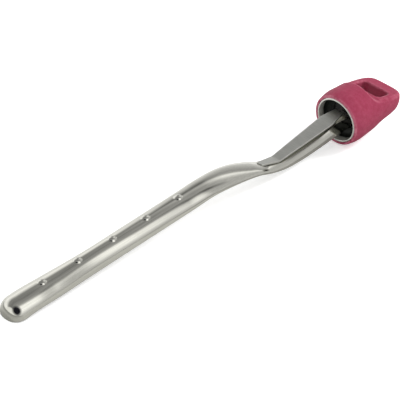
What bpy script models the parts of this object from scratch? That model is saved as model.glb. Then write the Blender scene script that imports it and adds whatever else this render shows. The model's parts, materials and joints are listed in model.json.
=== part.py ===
"""Garden dibber: a pressed stainless steel blade with a rubber grip cap.

The tool is laid out along its own +X axis, with the nose tip at x = 0, the axis of the
handle at z = 0 and +Y to the left.  An empty then lays it on the ground, convex side of
the trough up, so that the nose and the barrel of the grip cap both touch z = 0.
Lengths are in metres.
"""

import math

import bmesh
import bpy
import numpy as np

# Clearances and shared thicknesses
FIT_GAP = 0.0003            # between pieces that rest on or sit in each other
CUT_MARGIN = 0.0010         # how far a cutter runs past the face it opens
BLADE_SHEET = 0.0012        # pressed sheet of the blade
STRAP_SHEET = 0.0012        # flat bar of the strap
CUP_SHEET = 0.0008          # spun sheet of the cup

# Blade, neck and tang
BLADE_LENGTH = 0.1484       # nose tip to the start of the neck
NECK_LENGTH = 0.0600        # the S-bend that drops from the blade to the tang
TANG_REACH = 0.0498         # straight tang from the neck to the mouth of the handle
BLADE_RISE = 0.0165         # crest line of the blade above the axis of the handle
TANG_TOP = -0.0005          # crest line of the tang above that axis
TANG_DEPTH = 0.0062         # crest to lower edges of the tang
TANG_HALF_WIDTH = 0.0050
NOSE_LENGTH = 0.0085        # rounded front end
NOSE_FULLNESS = 2.3         # 2 is an ellipse, more is blunter
MARK_COUNT = 5
FIRST_MARK = 0.0259         # nose tip to the first depth mark
MARK_PITCH = 0.0250
MARK_RADIUS = 0.0027
MARK_HEIGHT = 0.0009

# Cup, core and pins
CUP_RADIUS = 0.0144         # outside of the cup
CUP_LIP = 0.0010            # width of the rolled lip
CUP_STRAIGHT = 0.0035       # straight part of the cup's wall
CUP_DEPTH = 0.0085
CUP_HOLE_PLAY = 0.0006      # between the tang's lower corners and the hole in the cup
CUP_HOLE_RADIUS = math.hypot(TANG_HALF_WIDTH, TANG_DEPTH - TANG_TOP) + CUP_HOLE_PLAY
CORE_STEP = 0.0012          # how much smaller the core is than the cup
CORE_RADIUS = CUP_RADIUS - CORE_STEP
CORE_LENGTH = 0.0080
CORE_CHAMFER = 0.0008
TANG_SHORT = 0.0004         # end of the tang to the back of the core
PIN_RADIUS = 0.00095
PIN_SPACING = 0.45 * CORE_LENGTH

# Grip cap
CAP_WALL = 0.0015           # rubber round the cup at the mouth
CAP_CROWN = 0.0011          # how far the barrel swells past the mouth
CAP_MOUTH_RADIUS = CUP_RADIUS + FIT_GAP + CAP_WALL
CAP_BARREL_RADIUS = CAP_MOUTH_RADIUS + CAP_CROWN
CAP_BARREL_PEAK = 0.0080    # mouth to the fattest place of the barrel
CAP_BARREL_FALL = 0.0026    # how much the radius falls from there to the end
CAP_EDGE = 0.0007           # rounding of the mouth's outer edge
CAP_BACK_WALL = 0.0011      # rubber between the core's chamber and the scallops
SCALLOP_RUN = 0.0065        # length of the drop from the barrel to the loop
SLOT_LAND = 0.0012          # flat between that drop and the hanging slot
SLOT_LENGTH = 0.0112        # slot along the tool
SLOT_CORNER = 0.0028
LOOP_SIDE = 0.0065          # how far the slot's ends stay inside the mouth's radius
LOOP_BAR = 0.0096           # slot to the end of the loop
LOOP_TOP = (0.0090, 0.0032)     # upper face of the loop at its root and its end
LOOP_UNDER = (0.0074, 0.0072)   # and the lower face, below the axis
LOOP_TOP_ROLL = 0.0008      # how far each face rolls off towards the sides
LOOP_UNDER_ROLL = 0.0014
LOOP_FLAT_HALF = 0.0060     # half width of the flat middle of the loop's faces
CAP_END_FULLNESS = 5.2      # plan of the rounded end: 2 is an ellipse, more is squarer

# Strap
STRAP_BEND_BACK = 0.0028    # bend of the strap to the end of the neck
STRAP_TAB = 0.0142          # part of the strap that lies on the neck
STRAP_TAB_SUNK = 0.0011     # depth of the flat land under the free end, and at the bend
STRAP_BEND_SUNK = 0.0004
STRAP_LAND_MARGIN = 0.0010  # how far the land runs past the free end
STRAP_FACE_RISE = 0.0047    # how far the long face rises from the bend to its shoulder
STRAP_SHOULDER = 0.0080     # from the shoulder to the mouth of the handle
STRAP_TAPER = 0.0108        # length of the taper from the shoulder to the tail
STRAP_TAIL_DROP = 0.0050    # length over which the tail bends down onto the tang
STRAP_END_HALF = 0.0021     # half widths: free end, bend, shoulder, tail
STRAP_BEND_HALF = 0.0033
STRAP_SHOULDER_HALF = 0.0052
STRAP_TAIL_HALF = 0.0031
STRAP_CHAMFER = 0.0002

# Places along the tool
NECK_END = BLADE_LENGTH + NECK_LENGTH
MOUTH = NECK_END + TANG_REACH                   # mouth of cup and grip cap
CORE_START = MOUTH + CUP_DEPTH + CUP_SHEET + FIT_GAP
CORE_END = CORE_START + CORE_LENGTH
TANG_END = CORE_END - TANG_SHORT
SCALLOP_START = CORE_END + FIT_GAP + CAP_BACK_WALL
SLOT_START = SCALLOP_START + SCALLOP_RUN + SLOT_LAND
SLOT_END = SLOT_START + SLOT_LENGTH
TOOL_END = SLOT_END + LOOP_BAR
STRAP_BEND = NECK_END - STRAP_BEND_BACK
STRAP_START = STRAP_BEND - STRAP_TAB
STRAP_SHOULDER_AT = MOUTH - STRAP_SHOULDER
STRAP_TAIL_AT = STRAP_SHOULDER_AT + STRAP_TAPER
STRAP_SEAT_AT = STRAP_TAIL_AT + STRAP_TAIL_DROP

# Trough of blade, neck and tang.  Each row: place, half width, share of the drop from the
# blade's crest line to the tang's, and depth from the crest to the lower edges.
TROUGH = (
    (0.0, 0.0090, -0.024, 0.0093),
    (1.5 * NOSE_LENGTH, 0.0090, -0.035, 0.0079),
    (0.21 * BLADE_LENGTH, 0.0086, -0.012, 0.0079),
    (0.38 * BLADE_LENGTH, 0.0076, 0.0, 0.0083),
    (0.61 * BLADE_LENGTH, 0.0078, 0.0, 0.0077),
    (0.87 * BLADE_LENGTH, 0.0082, 0.0, 0.0068),
    (BLADE_LENGTH, 0.0086, 0.024, 0.0057),
    (BLADE_LENGTH + 0.2 * NECK_LENGTH, 0.0092, 0.124, 0.0049),
    (BLADE_LENGTH + 0.4 * NECK_LENGTH, 0.0091, 0.300, 0.0041),
    (BLADE_LENGTH + 0.6 * NECK_LENGTH, 0.0081, 0.559, 0.0036),
    (BLADE_LENGTH + 0.8 * NECK_LENGTH, 0.0069, 0.882, 0.0036),
    (NECK_END, 0.0061, 1.065, 0.0043),
    (NECK_END + 0.26 * TANG_REACH, 0.0057, 1.106, 0.0051),
    (NECK_END + 0.62 * TANG_REACH, 0.0054, 1.082, 0.0055),
    (MOUTH, TANG_HALF_WIDTH, 1.0, TANG_DEPTH),
    (TANG_END, TANG_HALF_WIDTH, 1.0, TANG_DEPTH),
)

# Fineness of the meshes
ROUND_SEGMENTS = 48
PIN_SEGMENTS = 16
NOSE_ROWS = 8
MARK_ROWS = 7
NECK_ROWS = 23
TANG_ROWS = 9


# ---------------------------------------------------------------- scene and materials

def clear_scene():
    """Remove every object that the scene starts with."""
    for thing in list(bpy.data.objects):
        bpy.data.objects.remove(thing, do_unlink=True)


def make_material(name, colour, roughness, metallic):
    """Principled material with one colour."""
    material = bpy.data.materials.new(name)
    material.use_nodes = True
    shader = material.node_tree.nodes["Principled BSDF"]
    shader.inputs["Base Color"].default_value = (*colour, 1.0)
    shader.inputs["Roughness"].default_value = roughness
    shader.inputs["Metallic"].default_value = metallic
    material.diffuse_color = (*colour, 1.0)
    return material


def add_object(name, bm, parent, material=None):
    """Turn a bmesh into a named object under the tool's frame."""
    bmesh.ops.recalc_face_normals(bm, faces=bm.faces)
    mesh = bpy.data.meshes.new(name)
    bm.to_mesh(mesh)
    bm.free()
    thing = bpy.data.objects.new(name, mesh)
    bpy.context.collection.objects.link(thing)
    thing.parent = parent
    if material:
        mesh.materials.append(material)
        mesh.shade_smooth()
        mesh.set_sharp_from_angle(angle=math.radians(35))
    else:
        thing.hide_render = True
        thing.display_type = "WIRE"
    return thing


def cut(thing, cutter):
    """Take the cutter's shape out of the object with a live Boolean."""
    modifier = thing.modifiers.new("cut_" + cutter.name, "BOOLEAN")
    modifier.operation = "DIFFERENCE"
    modifier.solver = "EXACT"
    modifier.object = cutter


# ---------------------------------------------------------------- shape helpers

def smooth_through(places, values, x):
    """Smooth curve through the given points (cubic Hermite with averaged slopes)."""
    places, values = np.asarray(places), np.asarray(values)
    slopes = np.gradient(values, places)
    i = np.clip(np.searchsorted(places, x, side="right") - 1, 0, len(places) - 2)
    span = places[i + 1] - places[i]
    t = np.clip((x - places[i]) / span, 0.0, 1.0)
    start = (1 + 2 * t) * (1 - t) ** 2 * values[i] + t * (1 - t) ** 2 * span * slopes[i]
    end = t * t * (3 - 2 * t) * values[i + 1] - t * t * (1 - t) * span * slopes[i + 1]
    return start + end


def loft(rings):
    """Closed solid through a row of rings of points, with flat ends."""
    bm = bmesh.new()
    loops = [[bm.verts.new(point) for point in ring] for ring in rings]
    count = len(loops[0])
    for a, b in zip(loops, loops[1:]):
        for j in range(count):
            k = (j + 1) % count
            bm.faces.new((a[j], a[k], b[k], b[j]))
    bm.faces.new(loops[0])
    bm.faces.new(loops[-1])
    return bm


def prism(outline, half_height):
    """Upright solid with the given plan, reaching equally far above and below z = 0."""
    return loft([[(x, y, z) for x, y in outline] for z in (-half_height, half_height)])


def turned(profile, segments=ROUND_SEGMENTS):
    """Spin an (x, radius) profile round the X axis; radius 0 closes the end."""
    bm = bmesh.new()
    points = [bm.verts.new((x, 0.0, radius)) for x, radius in profile]
    closed = profile[0][1] > 0 or profile[-1][1] > 0
    ends = [(points[-1], points[0])] if closed else []
    edges = [bm.edges.new(pair) for pair in list(zip(points, points[1:])) + ends]
    bmesh.ops.spin(bm, geom=points + edges, cent=(0, 0, 0), axis=(1, 0, 0),
                   angle=2 * math.pi, steps=segments, use_merge=True)
    bmesh.ops.remove_doubles(bm, verts=bm.verts, dist=1e-6)
    return bm


def arc(centre, radius, start_deg, end_deg, steps):
    """Points of a circular arc in a plane, ends included."""
    angles = np.radians(np.linspace(start_deg, end_deg, steps + 1))
    return [(centre[0] + radius * math.cos(a), centre[1] + radius * math.sin(a)) for a in angles]


# ---------------------------------------------------------------- blade

def trough_at(x):
    """Half width, crest height and edge height of the trough, above the handle's axis."""
    places, widths, drops, depths = zip(*TROUGH)
    half_width = smooth_through(places, widths, x)
    crest = BLADE_RISE - (BLADE_RISE - TANG_TOP) * smooth_through(places, drops, x)
    return half_width, crest, crest - smooth_through(places, depths, x)


def nose_factor(x):
    """How much of the full section is left at x: 0 at the tip, 1 past the nose."""
    back = np.clip((NOSE_LENGTH - x) / NOSE_LENGTH, 0.0, 1.0)
    return (1.0 - back ** NOSE_FULLNESS) ** (1.0 / NOSE_FULLNESS)


def strap_seat(x):
    """Height of the flat land under the strap; far above the crest elsewhere."""
    start, bend = strap_top(np.array([STRAP_START, STRAP_BEND]))
    upright_sheet = STRAP_SHEET * math.hypot(1.0, (start - bend) / STRAP_TAB)
    under = (x > STRAP_START - STRAP_LAND_MARGIN) & (x < NECK_END + STRAP_LAND_MARGIN)
    return np.where(under, strap_top(x) - upright_sheet - FIT_GAP, 1.0)


def blade_stations():
    """Places along the blade: close at the nose and the depth marks, wider elsewhere."""
    nose = NOSE_LENGTH * (1 - np.cos(np.linspace(0.12, 0.5, NOSE_ROWS) * math.pi))
    marks = [FIRST_MARK + i * MARK_PITCH for i in range(MARK_COUNT)]
    near_marks = np.concatenate([m + MARK_RADIUS * np.linspace(-1, 1, MARK_ROWS) for m in marks])
    between = np.array([m + MARK_PITCH * share for m in marks for share in (0.32, 0.5, 0.68)])
    before = np.linspace(1.4 * NOSE_LENGTH, FIRST_MARK - 2 * MARK_RADIUS, 3)
    neck = BLADE_LENGTH + NECK_LENGTH * np.linspace(0.03, 1.05, NECK_ROWS)
    land = [STRAP_START - 0.9 * STRAP_LAND_MARGIN, STRAP_START, STRAP_BEND]
    tang = np.linspace(NECK_END + 0.2 * TANG_REACH, TANG_END, TANG_ROWS)
    along = np.concatenate([nose, before, near_marks, between, neck, land, tang])
    return np.unique(np.round(along, 7))


def blade_skin():
    """Outer skin of the blade: half ellipses along the tool, with the marks raised."""
    x = blade_stations()[:, None]
    flank = np.radians([-90, -74, -58, -43, -30])
    crown = np.radians(np.linspace(-19, 19, 7))
    turn = np.concatenate([flank, crown, -flank[::-1]])[None, :]
    half_width, crest, edge = trough_at(x)
    full = nose_factor(x)
    y = half_width * full * np.sin(turn)
    z = edge + (crest - edge) * full * np.cos(turn)
    for i in range(MARK_COUNT):
        away = np.hypot(x - FIRST_MARK - i * MARK_PITCH, y) / MARK_RADIUS
        z = z + MARK_HEIGHT * (0.5 + 0.5 * np.cos(math.pi * np.clip(away, 0, 1)))
    z = np.minimum(z, strap_seat(x))
    return np.broadcast_to(x, y.shape), y, z


def build_blade(parent, material):
    """One pressed sheet: nose, trough, neck and tang, open underneath."""
    x, y, z = blade_skin()
    bm = bmesh.new()
    grid = [[bm.verts.new(point) for point in zip(*row)] for row in zip(x, y, z)]
    tip = bm.verts.new((0.0, 0.0, float(trough_at(np.array([0.0]))[2][0])))
    for a, b in zip(grid, grid[1:]):
        for j in range(len(a) - 1):
            bm.faces.new((a[j], b[j], b[j + 1], a[j + 1]))
    for j in range(len(grid[0]) - 1):
        bm.faces.new((tip, grid[0][j], grid[0][j + 1]))
    blade = add_object("blade", bm, parent, material)
    wall = blade.modifiers.new("sheet", "SOLIDIFY")
    wall.thickness = BLADE_SHEET
    wall.offset = -1.0
    wall.use_even_offset = True
    wall.use_quality_normals = True
    return blade


# ---------------------------------------------------------------- strap

def strap_top(x):
    """Height of the strap's top face above the handle's axis."""
    crests = trough_at(np.array([STRAP_START, STRAP_BEND]))[1]
    on_neck = crests - (STRAP_TAB_SUNK, STRAP_BEND_SUNK) + FIT_GAP + STRAP_SHEET
    slope = STRAP_FACE_RISE / (STRAP_SHOULDER_AT - STRAP_BEND)
    tail = on_neck[1] + slope * (STRAP_TAIL_AT - STRAP_BEND)
    seated = TANG_TOP + FIT_GAP + STRAP_SHEET
    places = (STRAP_START, STRAP_BEND, STRAP_TAIL_AT, STRAP_SEAT_AT, TANG_END)
    return np.interp(x, places, (on_neck[0], on_neck[1], tail, seated, seated))


def build_strap(parent, material):
    """Flat strap: rounded end on the neck, bend, widening face, shoulders and tail."""
    step = CUT_MARGIN
    rounded = STRAP_START + STRAP_END_HALF * (1 - np.cos(np.linspace(0.12, 0.5, 5) * math.pi))
    corners = (STRAP_BEND, STRAP_SHOULDER_AT, STRAP_TAIL_AT, STRAP_SEAT_AT)
    near = [corner + shift for corner in corners for shift in (-step, 0.0, step)]
    middles = (0.5 * (STRAP_START + STRAP_BEND), 0.5 * (STRAP_BEND + STRAP_SHOULDER_AT))
    x = np.unique(np.concatenate([rounded, near, middles, [TANG_END]]))
    halves = (STRAP_END_HALF, STRAP_BEND_HALF, STRAP_SHOULDER_HALF, STRAP_TAIL_HALF,
              STRAP_TAIL_HALF)
    places = (STRAP_START, STRAP_BEND, STRAP_SHOULDER_AT, STRAP_TAIL_AT, TANG_END)
    half = np.interp(x, places, halves)
    back = np.clip((STRAP_START + STRAP_END_HALF - x) / STRAP_END_HALF, 0.0, 1.0)
    half = half * np.sqrt(1.0 - back ** 2)
    top = strap_top(x)
    slope = np.gradient(top, x)
    lean = slope / np.hypot(1.0, slope)
    upright = 1.0 / np.hypot(1.0, slope)
    rings = []
    for i in range(len(x)):
        outline = [(half[i] - STRAP_CHAMFER, 0.0), (half[i], STRAP_CHAMFER),
                   (half[i], STRAP_SHEET - STRAP_CHAMFER),
                   (half[i] - STRAP_CHAMFER, STRAP_SHEET)]
        section = outline + [(-y, depth) for y, depth in reversed(outline)]
        rings.append([(x[i] + lean[i] * depth, y, top[i] - upright[i] * depth)
                      for y, depth in section])
    return add_object("tang_strap", loft(rings), parent, material)


# ---------------------------------------------------------------- cup, core and pins

def build_cup(parent, material):
    """Spun steel cup: rolled lip, short straight wall, bowl and open bottom."""
    inner = CUP_RADIUS - CUP_LIP
    wall_out = inner + CUP_SHEET
    bowl_depth = CUP_DEPTH - CUP_STRAIGHT

    def bowl(radius, angle_deg, thickness):
        a = math.radians(angle_deg)
        drop = (inner - CUP_HOLE_RADIUS) * (1 - math.cos(a))
        return (MOUTH + CUP_STRAIGHT + (bowl_depth + thickness) * math.sin(a), radius - drop)

    lip = arc((MOUTH + CUP_LIP / 2, CUP_RADIUS - CUP_LIP / 2), CUP_LIP / 2, 270, 90, 4)
    angles = (0, 22, 45, 67, 90)
    inside = [bowl(inner, a, 0.0) for a in angles]
    outside = [bowl(wall_out, a, CUP_SHEET) for a in angles]
    outside[-1] = (outside[-1][0], CUP_HOLE_RADIUS)
    neck = (MOUTH + CUP_LIP * 1.4, wall_out)
    profile = list(reversed(inside)) + lip + [neck] + outside
    return add_object("ferrule_cup", turned(profile), parent, material)


def pin_places():
    """The two pins sit evenly about the middle of the tang's length in the core."""
    middle = 0.5 * (CORE_START + TANG_END)
    return middle - PIN_SPACING / 2, middle + PIN_SPACING / 2


def arch(half_width, crest, edge, steps=12):
    """Upper half of an ellipse, from its right foot to its left one."""
    angles = np.linspace(-math.pi / 2, math.pi / 2, steps + 1)
    return [(half_width * math.sin(a), edge + (crest - edge) * math.cos(a)) for a in angles]


def build_core(parent, material):
    """Plastic plug with an arched pocket for the tang, a pocket for the strap and pin holes."""
    small = CORE_RADIUS - CORE_CHAMFER
    profile = [(CORE_START, 0.0), (CORE_START, small), (CORE_START + CORE_CHAMFER, CORE_RADIUS),
               (CORE_END - CORE_CHAMFER, CORE_RADIUS), (CORE_END, small), (CORE_END, 0.0)]
    core = add_object("handle_core", turned(profile), parent, material)

    foot = TANG_TOP - TANG_DEPTH
    wall = BLADE_SHEET + FIT_GAP
    outer = arch(TANG_HALF_WIDTH + FIT_GAP, TANG_TOP + FIT_GAP, foot - FIT_GAP)
    inner = arch(TANG_HALF_WIDTH - wall, TANG_TOP - wall, foot - FIT_GAP)
    ring = outer + list(reversed(inner))
    ends = (CORE_START - CUT_MARGIN, CORE_END + CUT_MARGIN)
    pocket = loft([[(x, y, z) for y, z in ring] for x in ends])
    cut(core, add_object("tang_pocket", pocket, parent))

    half = STRAP_TAIL_HALF + FIT_GAP
    low, high = TANG_TOP - 0.5 * BLADE_SHEET, TANG_TOP + STRAP_SHEET + 2 * FIT_GAP
    slot = [(-half, low), (half, low), (half, high), (-half, high)]
    pocket = loft([[(x, y, z) for y, z in slot] for x in ends])
    cut(core, add_object("strap_pocket", pocket, parent))
    return core


def pin_solid(x, radius, half_length):
    """Upright round bar with the given middle."""
    angles = np.linspace(0, 2 * math.pi, PIN_SEGMENTS, endpoint=False)
    ring = [(x + radius * math.cos(a), radius * math.sin(a)) for a in angles]
    return prism(ring, half_length)


def build_pins(parent, material, drilled):
    """Two upright pins through core, strap tail and tang, each in its drilled hole."""
    pins = []
    for name, x in zip(("cross_pin_front", "cross_pin_rear"), pin_places()):
        solid = pin_solid(x, PIN_RADIUS, CORE_RADIUS - 2 * FIT_GAP)
        pins.append(add_object(name, solid, parent, material))
        drill = pin_solid(x, PIN_RADIUS + FIT_GAP, CORE_RADIUS + CUT_MARGIN)
        cutter = add_object("drill_" + name, drill, parent)
        for piece in drilled:
            cut(piece, cutter)
    return pins


# ---------------------------------------------------------------- grip cap

def cap_radius(x):
    """Outside of the cap before it is flattened: a low barrel, then a full rounded end."""
    peak = MOUTH + CAP_BARREL_PEAK
    rise = np.clip((x - MOUTH) / CAP_BARREL_PEAK, 0.0, 1.0)
    crown = CAP_MOUTH_RADIUS + CAP_CROWN * np.sin(0.5 * math.pi * rise)
    crown = crown - CAP_BARREL_FALL * np.clip((x - peak) / (TOOL_END - peak), 0.0, 1.0)
    past = np.clip((x - SCALLOP_START) / (TOOL_END - SCALLOP_START), 0.0, 1.0)
    return crown * (1.0 - past ** CAP_END_FULLNESS) ** (1.0 / CAP_END_FULLNESS)


def rounded_slot():
    """Plan of the hanging slot: a rectangle with rounded corners."""
    x0, x1 = SLOT_START, SLOT_END
    side, r = CAP_MOUTH_RADIUS - LOOP_SIDE - SLOT_CORNER, SLOT_CORNER
    points = arc((x0 + r, side), r, 180, 90, 4) + arc((x1 - r, side), r, 90, 0, 4)
    return points + arc((x1 - r, -side), r, 0, -90, 4) + arc((x0 + r, -side), r, 270, 180, 4)


def scallop(side, heights, roll):
    """Cutter above (1) or below (-1) the loop: its face is flat in the middle and rolls off."""
    reach = CAP_BARREL_RADIUS + 2 * CUT_MARGIN
    rolled = np.linspace(LOOP_FLAT_HALF, CAP_BARREL_RADIUS, 5)
    across = np.concatenate([-rolled[::-1], rolled])
    rings = []
    for y in across * reach / CAP_BARREL_RADIUS:
        off = max(abs(y) - LOOP_FLAT_HALF, 0.0) / (CAP_BARREL_RADIUS - LOOP_FLAT_HALF)
        root, end = (height - roll * off ** 2 for height in heights)
        foot = (SCALLOP_START + SCALLOP_RUN, root + SCALLOP_RUN)
        past = TOOL_END + CUT_MARGIN
        outline = [(SCALLOP_START, reach)] + arc(foot, SCALLOP_RUN, 180, 270, 6)
        outline += [(TOOL_END, end), (past, end), (past, reach)]
        rings.append([(x, y, side * z) for x, z in outline])
    return loft(rings)


def build_cap(parent, material):
    """Rubber cap: turned body, flattened by two scallops, with slot and stepped cavity."""
    rounding = np.sin(np.linspace(0.08, 0.5, 12) * math.pi)
    along = np.concatenate([np.linspace(MOUTH + CAP_EDGE, SCALLOP_START, 7),
                            SCALLOP_START + (TOOL_END - SCALLOP_START) * rounding])
    body = [(float(x), float(r)) for x, r in zip(along, cap_radius(along))]
    bore = CUP_RADIUS + FIT_GAP
    chamber = CORE_RADIUS + FIT_GAP
    step, back = CORE_START - FIT_GAP, CORE_END + FIT_GAP
    cavity = [(back, 0.0), (back, chamber), (step, chamber), (step, bore), (MOUTH, bore)]
    edge = arc((MOUTH + CAP_EDGE, CAP_MOUTH_RADIUS - CAP_EDGE), CAP_EDGE, 180, 100, 3)
    cap = add_object("grip_cap", turned(cavity + edge + body), parent, material)
    upper = scallop(1, LOOP_TOP, LOOP_TOP_ROLL)
    lower = scallop(-1, LOOP_UNDER, LOOP_UNDER_ROLL)
    cut(cap, add_object("upper_scallop", upper, parent))
    cut(cap, add_object("lower_scallop", lower, parent))
    slot = prism(rounded_slot(), LOOP_TOP[0] + CUT_MARGIN)
    cut(cap, add_object("hanging_slot", slot, parent))
    return cap


# ---------------------------------------------------------------- assembly

def evaluated_points(pieces):
    """All points of the finished pieces, in world space."""
    graph = bpy.context.evaluated_depsgraph_get()
    points = []
    for piece in pieces:
        ready = piece.evaluated_get(graph)
        points += [ready.matrix_world @ vertex.co for vertex in ready.data.vertices]
    return np.array(points)


def lay_on_ground(frame, pieces):
    """Pitch the tool onto its nose and barrel, then centre it over the origin."""
    bpy.context.view_layer.update()
    points = evaluated_points(pieces)
    tip = points[np.argmin(points[:, 0])]
    handle = points[points[:, 0] > NECK_END]
    slope = np.min((handle[:, 2] - tip[2]) / (handle[:, 0] - tip[0]))
    frame.rotation_euler = (0.0, math.atan(slope), 0.0)
    bpy.context.view_layer.update()
    points = evaluated_points(pieces)
    low, high = points.min(axis=0), points.max(axis=0)
    frame.location = (-0.5 * (low[0] + high[0]), -0.5 * (low[1] + high[1]), -low[2])
    bpy.context.view_layer.update()


def main():
    clear_scene()
    steel = make_material("blade_steel", (0.58, 0.57, 0.54), 0.24, 1.0)
    satin = make_material("strap_steel", (0.42, 0.42, 0.40), 0.42, 1.0)
    polished = make_material("cup_steel", (0.62, 0.62, 0.60), 0.10, 1.0)
    plastic = make_material("core_plastic", (0.05, 0.05, 0.05), 0.50, 0.0)
    pin_steel = make_material("pin_steel", (0.45, 0.45, 0.46), 0.35, 1.0)
    rubber = make_material("grip_rubber", (0.44, 0.08, 0.15), 0.62, 0.0)

    frame = bpy.data.objects.new("tool_frame", None)
    bpy.context.collection.objects.link(frame)

    blade = build_blade(frame, steel)
    strap = build_strap(frame, satin)
    cup = build_cup(frame, polished)
    core = build_core(frame, plastic)
    pins = build_pins(frame, pin_steel, (blade, strap, core))
    cap = build_cap(frame, rubber)
    lay_on_ground(frame, [blade, strap, cup, core, cap] + pins)


main()
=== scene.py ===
"""Looks of a garden dibber: polished trough blade, satin strap, spun cup and rubber grip cap.

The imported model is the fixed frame.  Every visible piece but the core and its pins is made
again here as a fine surface in the tool's own axes, and is placed by the hanging slot's
rear wall, whose place and direction the record gives.  Lengths are in metres.
"""

from __future__ import annotations

import json
import logging
import math
from abc import ABC, abstractmethod
from dataclasses import dataclass, field
from enum import Enum
from itertools import product
from typing import ClassVar

import bpy
import numpy as np
from bpy.types import Material, Node, NodeSocket as Socket, NodeTree, Object
from mathutils import Matrix


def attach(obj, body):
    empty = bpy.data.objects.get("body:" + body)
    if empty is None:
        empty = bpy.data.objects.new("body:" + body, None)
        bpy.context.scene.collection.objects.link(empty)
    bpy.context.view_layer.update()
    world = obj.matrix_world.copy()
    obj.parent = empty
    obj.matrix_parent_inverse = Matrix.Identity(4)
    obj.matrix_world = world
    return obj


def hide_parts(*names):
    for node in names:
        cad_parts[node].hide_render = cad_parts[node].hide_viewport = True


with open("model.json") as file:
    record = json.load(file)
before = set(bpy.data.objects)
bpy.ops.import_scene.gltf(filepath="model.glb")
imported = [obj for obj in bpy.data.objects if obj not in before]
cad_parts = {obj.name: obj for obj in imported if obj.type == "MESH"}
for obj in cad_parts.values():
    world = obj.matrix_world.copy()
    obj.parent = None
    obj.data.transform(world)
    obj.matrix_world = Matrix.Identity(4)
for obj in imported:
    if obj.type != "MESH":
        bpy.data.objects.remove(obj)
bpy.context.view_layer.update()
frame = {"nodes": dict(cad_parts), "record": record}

log = logging.getLogger("dibber")

Array = np.ndarray
Outputs = bpy.types.bpy_prop_collection
Pair = tuple[float, float]
Triple = tuple[float, float, float]
Colour = Triple
Strips = tuple[Pair, ...]
Surface = tuple[Array, list[Array]]

# Bands of a noise value over which a colour or a roughness changes.
CORE_BAND: Pair = (0.35, 0.65)
WIDE_BAND: Pair = (0.3, 0.7)


# ---------------- shared shape helpers

@dataclass(frozen=True)
class ToolAxes:
    """The tool's own axes: +X from nose to loop, +Y to the left, +Z to the convex side."""

    origin: Array
    turn: Array

    @classmethod
    def from_record(cls, record: dict, slot_end: float, slot_middle: float) -> "ToolAxes":
        """Read the axes from the flat wall that the hook bears on.

        Args:
            record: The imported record.
            slot_end: Place of that wall along the tool.
            slot_middle: Height of the wall's middle above the tool's axis.

        Returns:
            The axes, with the origin below the nose tip at the height of the handle's axis.
        """
        wall = next(m for m in record["mounts"] if m["name"] == "hook_bearing")
        along = -np.array(wall["axis"], dtype=float)
        along /= np.linalg.norm(along)
        across = np.array([0.0, 1.0, 0.0])
        up = np.cross(along, across)
        origin = np.array(wall["pos_m"], dtype=float) - slot_end * along - slot_middle * up
        return cls(origin, np.column_stack([along, across, up]))

    def place(self, points: Array) -> Array:
        """Turn tool coordinates, one point a row, into world coordinates."""
        return points @ self.turn.T + self.origin

    def pitch(self) -> float:
        """Angle by which the tool's length rises from the ground plane."""
        return math.asin(self.turn[2, 0])


def smooth_through(places: Array, values: Array, x: Array) -> Array:
    """Values at x of a curve through points: cubic Hermite pieces with averaged slopes."""
    slopes = np.gradient(values, places)
    i = np.clip(np.searchsorted(places, x, side="right") - 1, 0, len(places) - 2)
    span = places[i + 1] - places[i]
    t = np.clip((x - places[i]) / span, 0.0, 1.0)
    start = (1 + 2 * t) * (1 - t) ** 2 * values[i] + t * (1 - t) ** 2 * span * slopes[i]
    end = t * t * (3 - 2 * t) * values[i + 1] - t * t * (1 - t) * span * slopes[i + 1]
    return start + end


def add_object(data: bpy.types.ID) -> Object:
    """Link a new object for a mesh, lamp or camera, under the same name, at the world origin."""
    thing = bpy.data.objects.new(data.name, data)
    bpy.context.scene.collection.objects.link(thing)
    return thing


def grid_faces(rows: int, columns: int, closed: bool) -> Array:
    """Quads of a grid of points stored row by row, closed if its last column joins the first."""
    i = np.arange(rows - 1)[:, None]
    j = np.arange(columns if closed else columns - 1)[None, :]
    k = (j + 1) % columns
    quads = np.stack([i * columns + j, i * columns + k,
                      (i + 1) * columns + k, (i + 1) * columns + j], axis=-1)
    return quads.reshape(-1, 4)


def fan_faces(ring: Array, hub: int, with_ring: bool) -> Array:
    """Triangles from a closed ring of point numbers to a hub, that run with it or against it."""
    after = np.roll(ring, -1)
    sides = (ring, after) if with_ring else (after, ring)
    return np.column_stack([*sides, np.full(len(ring), hub)])


def rounded_max(a: Array, b: Array, radius: Array) -> Array:
    """Distance to the common part of two bodies whose shared edge is rounded off.

    Inside the rounding band both distances are moved in by the radius and joined as the
    two legs of a right triangle; elsewhere it is the larger of the two.
    """
    legs = np.hypot(np.maximum(a + radius, 0.0), np.maximum(b + radius, 0.0))
    return np.minimum(np.maximum(a, b), -radius) + legs


# ---------------- layout of the tool

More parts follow.
